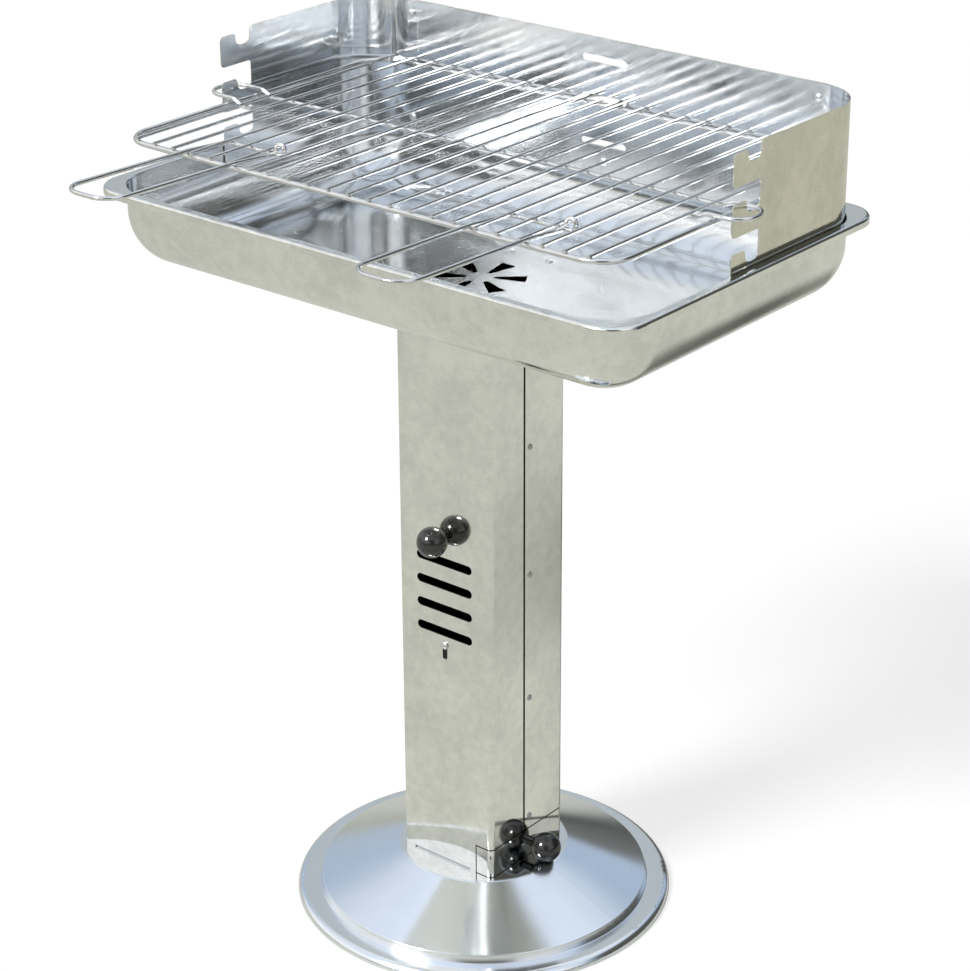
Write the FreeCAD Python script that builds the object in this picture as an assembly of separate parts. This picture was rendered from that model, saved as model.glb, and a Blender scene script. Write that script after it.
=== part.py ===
import FreeCAD, Part
import math
import os

# Sheet metal and running clearances
sheet = 0.8
base_sheet = 1.0
slip = 0.3
touch = 0.05
bore_clearance = 0.1
cut_past = 1.0
round_end = 0.999

# Spun base
base_radius = 180.0
base_hem = 5.0
base_bead = 1.5
base_curl = 7.0
base_ring_width = 22.0
base_step_rise = 8.0
base_step_run = 1.6
base_step_bend = 1.0
plateau_radius = 80.0
plateau_edge = 8.0
plateau_height = 48.0

# Column
column_side = 108.0
column_height = 573.0
column_bend = 5.0
seam_y = -5.0
seam_gap = 1.2
seam_lap = 16.0
seam_step = 1.4
seam_step_bend = 0.6
seam_screw_setback = 8.0
seam_screw_first = 43.0
seam_screw_last = 22.0
seam_screw_count = 5
top_flange_reach = 28.0
top_flange_half_width = 45.0
sheet_bend = 1.6
bend_root = 12.0
foot_tab_depth = 14.0
foot_tab_left = -40.0
foot_tab_right = 28.0
foot_screw_left = -28.0
foot_screw_right = 16.0
foot_screw_inset = 8.0

# Air slots and damper in the column's front wall
air_slot_half_width = 32.4
air_slot_height = 8.6
air_slot_top = 315.0
air_slot_pitch = 23.8
air_slot_count = 4
knob_over_slots = 26.0
guide_under_slots = 13.6
damper_stud_slot = 5.6
shutter_margin = 5.6
shutter_over_knob = 13.0
shutter_under_guide = 16.0
shutter_sheet = 1.0
shutter_corner = 4.0

# Ball knobs
ball_radius = 14.4
knob_neck_radius = 4.5
damper_knob_neck = 1.4
drawer_knob_neck = 5.0
knob_thread_depth = 11.0

# Ash drawer
drawer_low = 0.6
drawer_height = 28.4
drawer_slit = 1.4
drawer_wrap = 18.0
drawer_knob_y = 4.0
tray_back_gap = 3.2
tray_side_gap = 3.2
tray_floor = 4.6
tray_height = 23.0
tray_bend = 2.4
runner_ledge = 8.0
runner_lip = 5.2
runner_mouth_gap = 1.5
runner_headroom = 0.6
runner_bend = 1.0

# Fire bowl
rim_half_length = 294.0
rim_half_width = 189.0
rim_corner = 34.0
rim_flange = 9.2
rim_lip = 7.0
rim_bend = 3.0
rim_inner_bend = 2.0
bowl_depth = 74.0
bowl_corner = 51.8
bowl_bottom_radius = 50.0
bowl_screw_x = 22.3
bowl_screw_y = 70.0
star_count = 6
star_inner = 12.5
star_outer = 42.0
star_half_angle = 11.0
star_corner = 0.8
star_turn = 30.0

# Windscreen, measured from the bowl's rim and walls
screen_rise = 104.0
screen_sunk = 21.0
screen_gap = 1.0
screen_rim_gap = 1.2
flange_length = 11.0
back_overlap = 10.0
back_corner = 6.0
back_shoulder_corner = 2.0
back_foot_corner = 3.0
flange_screw_inset = 4.2
screen_screw_drop = 13.5
fixing_screw_drop = 12.0
tongue_slot_half_width = 25.5
tongue_slot_height = 6.5
upper_slot_shortfall = 6.3

# Hooks at the front edge of each wing
wing_front = 11.5
cradle_width = 18.5
prong_width = 20.0
prong_height = 11.5
hook_depth = 17.0
hook_drop = 15.0
lowest_hook_rise = 4.4
hook_levels = 3
rest_level = 1
cradle_round = 6.5
prong_round = 4.0
throat_round = 3.0
hook_cut = 10.0

# Cooking grid
frame_wire = 2.5
bar_wire = 1.5
cross_wire = 2.0
grid_side_gap = 15.2
grid_front = -169.0
grid_rear_gap = 5.5
grid_corner = 30.0
bar_spacing = 22.5
bar_inset = 19.5
ear_lift = 6.0
ear_reach = 15.0
ear_prong_gap = 6.0
ear_bend = 8.0
ear_slope = 11.0
ear_tail = 11.0
hairpin_fullness = 0.98
tongue_half_width = 17.0
tongue_root = 16.5
tongue_reach = 13.0
tongue_bend = 12.0

# Wire handles of the grid, each astride a few bars
handle_first_bar = 6
handle_last_bar = 8
handle_leg_gap = 5.5
handle_reach = 147.0
handle_tail = 49.0
handle_rise = 4.0
handle_kink_bend = 20.0
handle_tip_bend = 21.0
handle_rear_bend = 7.0
eye_clearance = 1.5
eye_turn = 300.0

# Fasteners
screw_head = 3.6
screw_head_height = 2.2
screw_shank = 2.0
screw_end = 1.0
waist_share = 0.4
nut_flats = 7.0
nut_height = 3.0
seam_head = 3.0
seam_head_height = 1.5
seam_shank = 1.6
seam_length = 6.5

# Heights and faces that follow from the sizes above
half = column_side / 2
column_foot = plateau_height
column_top = column_foot + column_height
wall_inner = half - sheet
seam_screw_pitch = (column_height - seam_screw_first - seam_screw_last) / (seam_screw_count - 1)
damper_travel = air_slot_pitch / 2
damper_knob_height = air_slot_top + knob_over_slots
damper_guide_height = air_slot_top - (air_slot_count - 1) * air_slot_pitch - guide_under_slots
tray_back = -wall_inner + tray_back_gap
tray_side = wall_inner - tray_side_gap
bowl_floor_top = column_top + sheet
rim_top = column_top + bowl_depth
bowl_half_length = rim_half_length - rim_flange
bowl_half_width = rim_half_width - rim_flange
screen_top = rim_top + screen_rise
screen_low = rim_top - screen_sunk
wing_face = bowl_half_length - sheet - screen_gap
back_face = bowl_half_width - sheet - screen_gap
wing_corner = bowl_corner - sheet - screen_gap
wing_tangent = wing_face - wing_corner
flange_screw_x = wing_tangent - flange_screw_inset
screen_inner = back_face - sheet
fixing_screw_height = rim_top - fixing_screw_drop
top_cradle = screen_top - hook_drop
hook_pitch = (screen_rise - hook_drop - lowest_hook_rise) / (hook_levels - 1)
cradle_front = wing_front - cradle_width
prong_front = cradle_front - prong_width
rest_cradle = top_cradle - rest_level * hook_pitch
ear_height = rest_cradle + slip + cross_wire
grid_height = ear_height - ear_lift
grid_half_length = wing_face - sheet - grid_side_gap
grid_rear = back_face - grid_rear_gap
bar_count = 2 * round((grid_half_length - bar_inset) / bar_spacing) + 1
bar_pitch = 2 * (grid_half_length - bar_inset) / (bar_count - 1)
bar_height = grid_height + frame_wire + bar_wire + touch
cross_height = bar_height - bar_wire - cross_wire - touch
over_frame = grid_height + frame_wire + cross_wire + touch
cross_y = wing_front - cradle_round
ear_front = prong_front - ear_prong_gap
tongue_tip = back_face + tongue_reach
handle_tip = grid_front - handle_reach
handle_rear = grid_front + handle_tail
eye_radius = (bar_pitch - bar_wire - eye_clearance - handle_leg_gap) / 2 - cross_wire
front_reach = handle_tip - cross_wire
rear_reach = tongue_tip + cross_wire
middle_y = (front_reach + rear_reach) / 2

up = FreeCAD.Vector(0, 0, 1)
right = FreeCAD.Vector(1, 0, 0)
back = FreeCAD.Vector(0, 1, 0)
nodes = {}


def vec(x, y, z=0.0):
    return FreeCAD.Vector(x, y, z)


def box(x0, x1, y0, y1, z0, z1):
    return Part.makeBox(x1 - x0, y1 - y0, z1 - z0, vec(x0, y0, z0))


def rod(radius, start, end):
    run = end - start
    return Part.makeCylinder(radius, run.Length, start, run)


def rounded_edges(points, radii, closed=False):
    """Straight runs through the points, with each corner turned by a tangent arc of its own radius."""
    count = len(points)
    corners = []
    for i, point in enumerate(points):
        radius = radii[i]
        end_of_line = not closed and i in (0, count - 1)
        if end_of_line or radius <= 0:
            corners.append((point, None, point))
            continue
        arrive = (point - points[i - 1]).normalize()
        leave = (points[(i + 1) % count] - point).normalize()
        turn = arrive.getAngle(leave)
        reach = radius * math.tan(turn / 2)
        inward = (leave - arrive).normalize()
        middle = point + inward * (radius / math.cos(turn / 2) - radius)
        corners.append((point - arrive * reach, middle, point + leave * reach))
    edges = []
    for i in range(count):
        start, middle, end = corners[i]
        if middle is not None:
            edges.append(Part.Arc(start, middle, end).toShape())
        if i < count - 1 or closed:
            following = corners[(i + 1) % count][0]
            if (following - end).Length > 1e-6:
                edges.append(Part.makeLine(end, following))
    return edges


def outline(points, radii):
    """A flat face inside a closed line with rounded corners."""
    return Part.Face(Part.Wire(rounded_edges(points, radii, closed=True)))


def plate(half_x, half_y, corner, z):
    """A rounded rectangle about the column's axis."""
    points = [vec(-half_x, -half_y, z), vec(half_x, -half_y, z), vec(half_x, half_y, z),
              vec(-half_x, half_y, z)]
    return outline(points, [corner] * 4)


def bent_sheet(points, radii, thickness, to_space):
    """The section of a bent sheet: the line drawn is one face, and the sheet lies to its left."""
    normals = []
    for (x0, y0), (x1, y1) in zip(points, points[1:]):
        length = math.hypot(x1 - x0, y1 - y0)
        normals.append((-(y1 - y0) / length, (x1 - x0) / length))
    offset_points = []
    offset_radii = []
    last = len(points) - 1
    for i, (x, y) in enumerate(points):
        before = normals[max(i - 1, 0)]
        after = normals[min(i, last - 1)]
        share = 1 + before[0] * after[0] + before[1] * after[1]
        offset_points.append((x + thickness * (before[0] + after[0]) / share,
                              y + thickness * (before[1] + after[1]) / share))
        turns_left = before[0] * after[1] - before[1] * after[0] > 0
        offset_radii.append(max(radii[i] - thickness, 0) if turns_left else radii[i] + thickness)
    line = points + offset_points[::-1]
    bends = radii + offset_radii[::-1]
    bends[0] = bends[last] = bends[last + 1] = bends[-1] = 0
    return outline([to_space(x, y) for x, y in line], bends)


def in_plan(x, y):
    return vec(x, y, 0)


def in_side_view(y, z):
    return vec(0, y, z)


def in_half_section(r, z):
    return vec(r, 0, z)


def mirrored(shape, across):
    return shape.mirror(vec(0, 0, 0), across)


def tube(edges, radius):
    """A round wire bent along a line of runs and arcs."""
    path = Part.Wire(edges)
    start = edges[0].valueAt(edges[0].FirstParameter)
    tangent = edges[0].tangentAt(edges[0].FirstParameter)
    if (start - path.OrderedVertexes[0].Point).Length > 1e-6:
        raise ValueError("the wire's first run doesn't start the path")
    section = Part.Wire(Part.makeCircle(radius, start, tangent))
    return path.makePipeShell([section], True, False)


def bent_wire(points, radii, radius):
    return tube(rounded_edges(points, radii), radius)


def pointed_along(shape, place, direction):
    shape = shape.copy()
    shape.Placement = FreeCAD.Placement(place, FreeCAD.Rotation(up, direction))
    return shape


def screw(place, direction, grip, head=screw_head, head_height=screw_head_height, shank=screw_shank):
    """A domed screw: the head's seat is at the place, the head points along the direction."""
    waist = head_height * waist_share
    crown = head_height - waist
    dome_radius = (head ** 2 + crown ** 2) / (2 * crown)
    middle_angle = math.asin(head / dome_radius) / 2
    sunk = dome_radius * (1 - math.cos(middle_angle))
    middle = vec(dome_radius * math.sin(middle_angle), 0, head_height - sunk)
    dome = Part.Arc(vec(head, 0, waist), middle, vec(0, 0, head_height)).toShape()
    line = [vec(0, 0, head_height), vec(0, 0, -grip), vec(shank, 0, -grip), vec(shank, 0, 0),
            vec(head, 0, 0), vec(head, 0, waist)]
    runs = [Part.makeLine(a, b) for a, b in zip(line, line[1:])]
    section = Part.Face(Part.Wire(runs + [dome]))
    return pointed_along(section.revolve(vec(0, 0, 0), up, 360), place, direction)


def nut(place, direction):
    """A hexagon nut that seats at the place and stands along the direction."""
    corner = nut_flats / math.sqrt(3)
    angles = [math.radians(60 * i) for i in range(6)]
    ring = [vec(corner * math.cos(a), corner * math.sin(a)) for a in angles]
    body = outline(ring, [0] * 6).extrude(up * nut_height)
    body = body.cut(Part.makeCylinder(screw_shank + touch, nut_height, vec(0, 0, 0), up))
    return pointed_along(body, place, direction)


def bolt(place, direction, grip):
    """A screw and its nut through a stack of sheets of the grip's thickness."""
    length = grip + nut_height + screw_end
    return screw(place, direction, length), nut(place - direction * grip, direction * -1)


def clearance_hole(place, direction, radius=screw_shank + bore_clearance, reach=10.0):
    return rod(radius, place - direction * reach, place + direction * reach)


def stadium(half_width, height, z, y0, y1):
    """A long slot with round ends, cut along the depth of the object."""
    r = height / 2
    points = [vec(-half_width, y0, z - r), vec(half_width, y0, z - r), vec(half_width, y0, z + r),
              vec(-half_width, y0, z + r)]
    return outline(points, [r * round_end] * 4).extrude(back * (y1 - y0))


def add(name, *solids):
    """Keep a piece, moved so that the origin lies under the middle of the whole object."""
    shape = solids[0] if len(solids) == 1 else Part.makeCompound(list(solids))
    shape = shape.copy()
    shape.translate(vec(0, -middle_y, 0))
    nodes[name] = shape


def foot_screw_places():
    y = half - foot_screw_inset
    z = column_foot + sheet
    return [vec(x, side * y, z) for x in (foot_screw_left, foot_screw_right) for side in (-1, 1)]


def base_plate():
    """A disc spun with a plateau, a cone, a step, a flat ring and a curled, hemmed edge."""
    edge_top = base_bead + base_curl
    ring_inner = base_radius - base_ring_width
    points = [(base_radius - base_hem, 0), (base_radius, 0), (base_radius, edge_top), (ring_inner, edge_top),
              (ring_inner - base_step_run, edge_top + base_step_rise), (plateau_radius, plateau_height),
              (0, plateau_height)]
    radii = [0, base_bead, base_curl, base_step_bend, base_step_bend, plateau_edge, 0]
    section = bent_sheet(points, radii, base_sheet, in_half_section)
    disc = section.revolve(vec(0, 0, 0), up, 360)
    for place in foot_screw_places():
        disc = disc.cut(clearance_hole(place, up))
    return disc


def foot_tab():
    """The tab bent inwards at the foot of the front wall."""
    points = [(-half, column_foot + bend_root), (-half, column_foot), (-half + foot_tab_depth, column_foot)]
    section = bent_sheet(points, [0, sheet_bend + sheet, 0], sheet, in_side_view)
    section.translate(right * foot_tab_left)
    return section.extrude(right * (foot_tab_right - foot_tab_left))


def top_flange():
    """The flange bent outwards at the top of the front wall, under the bowl's floor."""
    points = [(-wall_inner, column_top - bend_root), (-wall_inner, column_top),
              (-half - top_flange_reach, column_top)]
    section = bent_sheet(points, [0, sheet_bend + sheet, 0], sheet, in_side_view)
    section.translate(right * -top_flange_half_width)
    return section.extrude(right * (2 * top_flange_half_width))


def with_tab_and_flange(shell):
    """Notch the wall for both bends and join them on."""
    bend = sheet_bend + sheet
    shell = shell.cut(box(foot_tab_left, foot_tab_right, -half, -half + column_bend,
                          column_foot, column_foot + bend))
    shell = shell.cut(box(-top_flange_half_width, top_flange_half_width, -half, -half + column_bend,
                          column_top - bend, column_top))
    return shell.fuse([foot_tab(), top_flange()]).removeSplitter()


def drawer_mouth():
    """The space that the drawer's front takes out of the column's foot."""
    beyond = half + cut_past
    return box(half - drawer_wrap - seam_gap, beyond, -beyond, beyond, column_foot - cut_past,
               column_foot + drawer_low + drawer_height + drawer_slit)


def seam_screw_places():
    heights = [column_foot + seam_screw_first + i * seam_screw_pitch for i in range(seam_screw_count)]
    return [vec(side * half, seam_y + seam_screw_setback, z) for side in (-1, 1) for z in heights]


def bowl_screw_places():
    return [vec(x, y, bowl_floor_top)
            for x in (-bowl_screw_x, bowl_screw_x) for y in (-bowl_screw_y, bowl_screw_y)]


def with_column_holes(shell):
    for place in seam_screw_places():
        shell = shell.cut(clearance_hole(place, right, seam_shank + touch))
    for place in foot_screw_places() + bowl_screw_places():
        shell = shell.cut(clearance_hole(place, up))
    return shell


def air_slots(y0, y1):
    heights = [column_foot + air_slot_top - i * air_slot_pitch for i in range(air_slot_count)]
    return [stadium(air_slot_half_width, air_slot_height, z, y0, y1) for z in heights]


def stud_slot(height):
    """The upright slot that a damper stud runs in, from its open place down to its closed one."""
    r = damper_stud_slot / 2
    z = column_foot + height
    y = -half - cut_past
    low = z - damper_travel - r
    points = [vec(-r, y, low), vec(r, y, low), vec(r, y, z + r), vec(-r, y, z + r)]
    return outline(points, [r * round_end] * 4).extrude(back * (sheet + 2 * cut_past))


def front_shell():
    """The front half of the column, with its edges stepped in to lie behind the rear half."""
    inset = sheet + touch
    tip = seam_y + seam_lap
    points = [(-half + inset, tip), (-half + inset, seam_y), (-half, seam_y - seam_step), (-half, -half),
              (half, -half), (half, seam_y - seam_step), (half - inset, seam_y), (half - inset, tip)]
    radii = [0, seam_step_bend, seam_step_bend, column_bend,
             column_bend, seam_step_bend, seam_step_bend, 0]
    section = bent_sheet(points, radii, sheet, in_plan)
    section.translate(up * column_foot)
    shell = with_tab_and_flange(section.extrude(up * column_height))
    shell = shell.cut(drawer_mouth())
    for cutter in air_slots(-half - cut_past, -wall_inner + cut_past):
        shell = shell.cut(cutter)
    shell = shell.cut(stud_slot(damper_knob_height)).cut(stud_slot(damper_guide_height))
    return with_column_holes(shell)


def rear_shell():
    """The plain rear half of the column."""
    start = seam_y + seam_gap
    points = [(half, start), (half, half), (-half, half), (-half, start)]
    section = bent_sheet(points, [0, column_bend, column_bend, 0], sheet, in_plan)
    section.translate(up * column_foot)
    shell = section.extrude(up * column_height)
    shell = mirrored(with_tab_and_flange(mirrored(shell, back)), back)
    return with_column_holes(shell.cut(drawer_mouth()))


def seam_screws():
    screws = []
    for place in seam_screw_places():
        direction = right if place.x > 0 else right * -1
        screws.append(screw(place, direction, seam_length, seam_head, seam_head_height, seam_shank))
    return screws


def drawer_runner():
    """The front one of two channels, spot welded inside the column, that carry the tray."""
    floor = column_foot + tray_floor
    low = floor - slip - sheet
    high = floor + tray_height + runner_headroom + sheet
    points = [(-wall_inner + runner_lip, high), (-wall_inner, high), (-wall_inner, low),
              (-wall_inner + runner_ledge, low)]
    section = bent_sheet(points, [0, runner_bend, runner_bend, 0], sheet, in_side_view)
    mouth = half - drawer_wrap - seam_gap
    section.translate(right * tray_back)
    return section.extrude(right * (mouth - runner_mouth_gap - tray_back))


def ball_knob(seat, direction, neck):
    """A ball on a short neck, bored for its screw."""
    centre = vec(0, 0, neck + ball_radius)
    stem = rod(knob_neck_radius, vec(0, 0, 0), centre)
    knob = Part.makeSphere(ball_radius, centre).fuse(stem).removeSplitter()
    knob = knob.cut(rod(screw_shank + touch, vec(0, 0, -cut_past), vec(0, 0, knob_thread_depth)))
    return pointed_along(knob, seat, direction)


def drawer_knob_seat():
    return vec(half, drawer_knob_y, column_foot + drawer_low + drawer_height / 2)


def drawer_front():
    """The drawer's front, wrapped round both corners of the column."""
    wrap = half - drawer_wrap
    points = [(wrap, -half), (half, -half), (half, half), (wrap, half)]
    section = bent_sheet(points, [0, column_bend, column_bend, 0], sheet, in_plan)
    section.translate(up * (column_foot + drawer_low))
    front = section.extrude(up * drawer_height)
    return front.cut(clearance_hole(drawer_knob_seat(), right))


def open_box(x0, x1, y0, y1, z0, z1, bend, wall):
    """An open tray folded with rounded corners and floor edges."""
    def block(inset, top):
        solid = box(x0 + inset, x1 - inset, y0 + inset, y1 - inset, z0 + inset, top)
        upper = solid.BoundBox.ZMax
        edges = [edge for edge in solid.Edges if min(p.Point.z for p in edge.Vertexes) < upper - touch]
        return solid.makeFillet(bend - inset, edges)
    return block(0, z1).cut(block(wall, z1 + bend))


def drawer_tray():
    floor = column_foot + tray_floor
    tray = open_box(tray_back, wall_inner, -tray_side, tray_side, floor, floor + tray_height,
                    tray_bend, sheet)
    return tray.cut(clearance_hole(drawer_knob_seat(), right))


def drawer_knob_screw():
    seat = drawer_knob_seat() - right * (2 * sheet)
    return screw(seat, right * -1, 2 * sheet + knob_thread_depth - screw_end)


def shutter():
    """The damper's plate behind the front wall, with windows that match the air slots."""
    y = -wall_inner + slip
    side = air_slot_half_width + shutter_margin
    low = column_foot + damper_guide_height - shutter_under_guide
    high = column_foot + damper_knob_height + shutter_over_knob
    points = [vec(-side, y, low), vec(side, y, low), vec(side, y, high), vec(-side, y, high)]
    plate_solid = outline(points, [shutter_corner] * 4).extrude(back * shutter_sheet)
    for cutter in air_slots(y - cut_past, y + shutter_sheet + cut_past):
        plate_solid = plate_solid.cut(cutter)
    for height in (damper_knob_height, damper_guide_height):
        place = vec(0, y, column_foot + height)
        plate_solid = plate_solid.cut(clearance_hole(place, back, screw_shank + touch))
    return plate_solid


def damper_knob():
    return ball_knob(vec(0, -half - slip, column_foot + damper_knob_height), back * -1, damper_knob_neck)


def damper_knob_screw():
    seat = vec(0, -wall_inner + slip + shutter_sheet, column_foot + damper_knob_height)
    through = 2 * slip + sheet + shutter_sheet
    return screw(seat, back, through + knob_thread_depth - screw_end)


def damper_guide():
    """A screw and nut that keep the shutter flat and upright in its slot."""
    seat = vec(0, -half - slip, column_foot + damper_guide_height)
    return bolt(seat, back * -1, 2 * slip + sheet + shutter_sheet)


def pan(inset, top):
    """A block with upright rounded corners and a rounded foot, for the bowl's outside or inside."""
    face = plate(bowl_half_length - inset, bowl_half_width - inset, bowl_corner - inset, column_top + inset)
    solid = face.extrude(up * (top - column_top - inset))
    edges = [e for e in solid.Edges if max(p.Point.z for p in e.Vertexes) < column_top + inset + touch]
    return solid.makeFillet(bowl_bottom_radius - inset, edges)


def rim_block(inset, low):
    face = plate(rim_half_length - inset, rim_half_width - inset, rim_corner - inset, low)
    top = rim_top - inset
    solid = face.extrude(up * (top - low))
    edges = [e for e in solid.Edges if min(p.Point.z for p in e.Vertexes) > top - touch]
    return solid.makeFillet(rim_bend - inset, edges)


def star_slot(turn):
    """One of the wedges of the air star, open further out than in."""
    spread = math.radians(star_half_angle)
    corners = ((star_inner, -spread), (star_outer, -spread), (star_outer, spread), (star_inner, spread))
    points = [vec(r * math.cos(a), r * math.sin(a), column_top - cut_past) for r, a in corners]
    wedge = outline(points, [star_corner] * 4).extrude(up * (sheet + 2 * cut_past))
    wedge.rotate(vec(0, 0, 0), up, turn)
    return wedge


def fire_bowl():
    """A drawn pan with a flat flange and a turned-down lip."""
    outside = pan(0, rim_top)
    hollow = pan(sheet, rim_top + cut_past)
    under_rim = rim_block(sheet, rim_top - rim_lip - cut_past).cut(outside)
    throat = [e for e in under_rim.Edges if min(p.Point.z for p in e.Vertexes) > rim_top - sheet - touch
              and max(abs(p.Point.x) for p in e.Vertexes) < bowl_half_length + touch
              and max(abs(p.Point.y) for p in e.Vertexes) < bowl_half_width + touch]
    under_rim = under_rim.makeFillet(rim_inner_bend - sheet, throat)
    bowl = outside.fuse(rim_block(0, rim_top - rim_lip)).cut(hollow).cut(under_rim)
    mouth = [e for e in bowl.Edges if min(p.Point.z for p in e.Vertexes) > rim_top - touch
             and e.BoundBox.YMax < bowl_half_width and e.BoundBox.YMin > -bowl_half_width
             and e.BoundBox.XMax < bowl_half_length and e.BoundBox.XMin > -bowl_half_length]
    bowl = bowl.makeFillet(rim_inner_bend, mouth)
    for i in range(star_count):
        bowl = bowl.cut(star_slot(star_turn + i * 360 / star_count))
    for place in bowl_screw_places():
        bowl = bowl.cut(clearance_hole(place, up))
    for x in fixing_screw_x():
        bowl = bowl.cut(clearance_hole(vec(x, bowl_half_width, fixing_screw_height), back))
    return bowl


def fixing_screw_x():
    return (-flange_screw_x, 0, flange_screw_x)


def screen_screw_height():
    return screen_top - screen_screw_drop


def slot_heights():
    middle = over_frame
    return (middle + hook_pitch - upper_slot_shortfall, middle, middle - hook_pitch)


def screen_back():
    """The rear panel, narrower where it stands inside the bowl."""
    shoulder = rim_top + screen_rim_gap
    wide = wing_tangent + back_overlap
    narrow = wing_tangent - touch
    points = [(-narrow, screen_low), (narrow, screen_low), (narrow, shoulder), (wide, shoulder),
              (wide, screen_top), (-wide, screen_top), (-wide, shoulder), (-narrow, shoulder)]
    radii = [back_foot_corner, back_foot_corner, 0, back_shoulder_corner, back_corner, back_corner,
             back_shoulder_corner, 0]
    panel = outline([vec(x, back_face, z) for x, z in points], radii).extrude(back * sheet)
    for z in slot_heights():
        panel = panel.cut(stadium(tongue_slot_half_width, tongue_slot_height, z, back_face - cut_past,
                                  back_face + sheet + cut_past))
    for x in (-flange_screw_x, flange_screw_x):
        panel = panel.cut(clearance_hole(vec(x, back_face, screen_screw_height()), back))
    for x in fixing_screw_x():
        panel = panel.cut(clearance_hole(vec(x, back_face, fixing_screw_height), back))
    return panel


def hook_gap(level):
    """The open space over one cradle and its prong, out to the wing's front."""
    cradle = top_cradle - level * hook_pitch
    out = prong_front - hook_cut
    ceiling = cradle + hook_pitch - hook_depth
    if level == 0:
        ceiling = screen_top + hook_cut
    points = [(wing_front, cradle), (wing_front, ceiling), (out, ceiling), (out, cradle),
              (prong_front, cradle), (prong_front, cradle + prong_height),
              (cradle_front, cradle + prong_height), (cradle_front, cradle)]
    radii = [cradle_round, throat_round if level else 0, 0, 0, 0, 0, 0, cradle_round]
    face = outline([in_side_view(y, z) for y, z in points], radii)
    return face.extrude(right * rim_half_length)


def softened(solid):
    """Round the free corners of the hooks, seen from the side."""
    tips = []
    for edge in solid.Edges:
        if len(edge.Vertexes) != 2 or abs(edge.Length - sheet) > touch:
            continue
        a, b = (p.Point for p in edge.Vertexes)
        across = abs(abs(a.x - b.x) - sheet) < 1e-3
        at_prong = a.z > rim_top and (abs(a.y - prong_front) < touch or abs(a.y - cradle_front) < touch)
        at_top = abs(a.z - screen_top) < touch and abs(a.y - wing_front) < touch
        if across and (at_prong or at_top):
            tips.append(edge)
    return solid.makeFillet(prong_round, tips)


def screen_wing():
    """The right wing: a side, a round rear corner, a flange on the back panel, and the hooks in front."""
    points = [(wing_face, prong_front), (wing_face, back_face), (wing_tangent - flange_length, back_face)]
    section = bent_sheet(points, [0, wing_corner, 0], sheet, in_plan)
    section.translate(up * screen_low)
    wing = section.extrude(up * (screen_top - screen_low))
    for level in range(hook_levels):
        wing = wing.cut(hook_gap(level))
    wing = softened(wing)
    wing = wing.cut(clearance_hole(vec(flange_screw_x, back_face, screen_screw_height()), back))
    return wing.cut(clearance_hole(vec(flange_screw_x, back_face, fixing_screw_height), back))


def screen_bolts():
    """The upper screws, which join each wing to the back panel."""
    return [bolt(vec(x, screen_inner, screen_screw_height()), back * -1, 2 * sheet)
            for x in (-flange_screw_x, flange_screw_x)]


def fixing_bolts():
    """The lower screws, which hold the windscreen to the bowl's rear wall."""
    bolts = []
    for x in fixing_screw_x():
        seat = screen_inner if x else back_face
        bolts.append(bolt(vec(x, seat, fixing_screw_height), back * -1, bowl_half_width - seat))
    return bolts


def grid_frame():
    """The grid's outer wire, a closed rounded rectangle."""
    side = grid_half_length
    z = grid_height
    points = [vec(-side, grid_front, z), vec(side, grid_front, z),
              vec(side, grid_rear, z), vec(-side, grid_rear, z)]
    sides = []
    for i in range(4):
        a = points[i]
        b = points[(i + 1) % 4]
        run = (b - a).normalize()
        sides.append(rod(frame_wire, a + run * grid_corner, b - run * grid_corner))
    ring = Part.makeTorus(grid_corner, frame_wire)
    for i, point in enumerate(points):
        centre = vec(point.x - math.copysign(grid_corner, point.x),
                     grid_front + grid_corner if i < 2 else grid_rear - grid_corner, grid_height)
        reach = grid_corner + frame_wire + slip
        x0, x1 = sorted((centre.x, centre.x + math.copysign(reach, point.x)))
        y0, y1 = (centre.y - reach, centre.y) if i < 2 else (centre.y, centre.y + reach)
        corner = ring.copy()
        corner.translate(centre)
        sides.append(corner.common(box(x0, x1, y0, y1, grid_height - reach, grid_height + reach)))
    return sides[0].fuse(sides[1:])


def bar_end(x, y, outward):
    """Where a bar ends, flush with the frame wire, also over the frame's rounded corners."""
    into_corner = abs(x) - (grid_half_length - grid_corner)
    if into_corner > 0:
        y -= outward * (grid_corner - math.sqrt(grid_corner ** 2 - into_corner ** 2))
    return y + outward * frame_wire


def grid_bars():
    bars = []
    for i in range(bar_count):
        x = (i - (bar_count - 1) / 2) * bar_pitch
        bars.append(rod(bar_wire, vec(x, bar_end(x, grid_front, -1), bar_height),
                        vec(x, bar_end(x, grid_rear, 1), bar_height)))
    return bars


def grid_cross_wire():
    """The carrying wire under the bars, with a hairpin ear at each end that lies in the hooks."""
    hairpin = (cross_y - ear_front) / 2 * hairpin_fullness
    tip = wing_face + ear_reach
    over = grid_half_length - 2 * frame_wire
    under = over - ear_slope
    half_path = [(under, cross_y, cross_height, ear_bend), (over, cross_y, ear_height, ear_bend),
                 (tip, cross_y, ear_height, hairpin), (tip, ear_front, ear_height, hairpin),
                 (over, ear_front, ear_height, ear_bend), (under, ear_front, cross_height, ear_bend),
                 (under - ear_tail, ear_front, cross_height, 0)]
    path = [(-x, y, z, r) for x, y, z, r in half_path[::-1]] + half_path
    return bent_wire([vec(x, y, z) for x, y, z, r in path], [r for x, y, z, r in path], cross_wire)


def grid_tongue():
    """The loop behind the frame that sits in a slot of the back panel."""
    z = over_frame
    root = grid_rear - tongue_root
    points = [vec(-tongue_half_width, root, z), vec(-tongue_half_width, tongue_tip, z),
              vec(tongue_half_width, tongue_tip, z), vec(tongue_half_width, root, z)]
    return bent_wire(points, [0, tongue_bend, tongue_bend, 0], cross_wire)


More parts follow.
